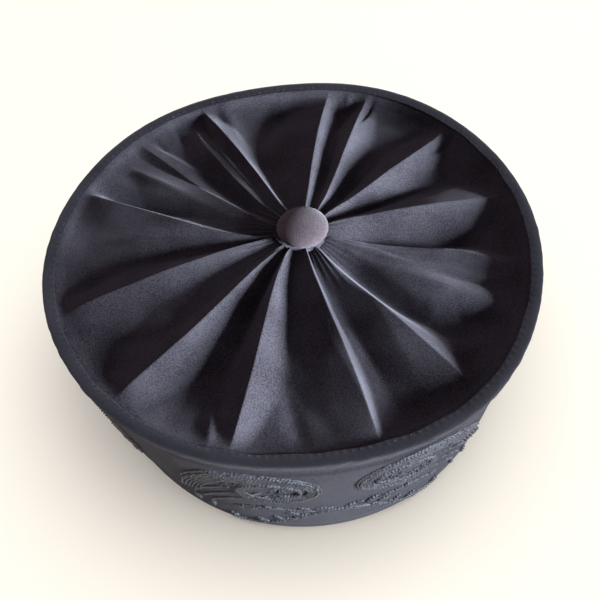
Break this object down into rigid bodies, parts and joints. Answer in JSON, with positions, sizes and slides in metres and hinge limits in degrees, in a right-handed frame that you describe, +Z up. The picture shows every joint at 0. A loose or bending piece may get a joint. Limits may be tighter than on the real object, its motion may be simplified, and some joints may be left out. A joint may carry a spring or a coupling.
{
  "type": "skufia, a pleated clerical cap",
  "caption": "Soft black clerical cap with a tapered band, raised scroll embroidery and a flat crown pleated to a covered button.",
  "frame": {"origin": "middle of the hem, on the surface the cap stands on", "axes": "+Z up through the crown, -Y to the front of the cap, +X to the right in a front view"},
  "size_m": [0.2032, 0.1953, 0.0803],
  "materials": {
    "band_cloth": "matt black wool cloth with a fine weave",
    "crown_cloth": "matt black wool cloth with a fine weave",
    "binding_cloth": "matt black cloth strip, top-stitched",
    "button_cloth": "matt black cloth stretched over a button",
    "embroidery_thread": "dark thread with a satin gloss"
  },
  "bodies": {
    "root": {"side_band": "band_cloth", "crown": "crown_cloth", "rim_binding": "binding_cloth", "button": "button_cloth", "scroll_front_a": "embroidery_thread", "scroll_front_b": "embroidery_thread", "scroll_right_a": "embroidery_thread", "scroll_right_b": "embroidery_thread", "scroll_back_a": "embroidery_thread", "scroll_back_b": "embroidery_thread", "scroll_left_a": "embroidery_thread", "scroll_left_b": "embroidery_thread", "stem_front": "embroidery_thread", "stem_right": "embroidery_thread", "stem_back": "embroidery_thread", "stem_left": "embroidery_thread"}
  },
  "joints": []
}
